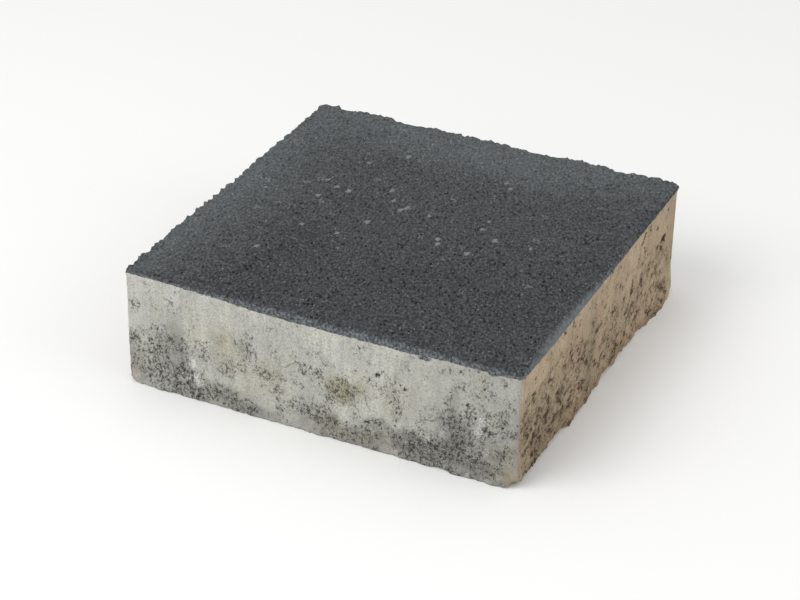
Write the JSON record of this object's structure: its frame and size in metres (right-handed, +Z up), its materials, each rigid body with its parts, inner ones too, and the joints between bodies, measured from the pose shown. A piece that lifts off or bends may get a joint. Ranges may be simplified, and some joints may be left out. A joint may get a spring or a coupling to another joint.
{
  "type": "paving block",
  "caption": "Square concrete paving block with a dark fine-grained wearing face, a pale pressed body and worn, chipped lower edges, laid on bedding sand beside its like",
  "frame": {"origin": "middle of the bed face, on the ground", "axes": "+Z up from the bed face to the dark wearing face, -Y out of the pale front side, +X out of the sandy right side"},
  "size_m": [0.2, 0.2, 0.06],
  "materials": {
    "concrete": "matt pressed concrete, dark grey fine-grained wearing face over pale grey to sandy sides with open pores"
  },
  "bodies": {
    "root": {"paving_block": "concrete"}
  },
  "joints": []
}
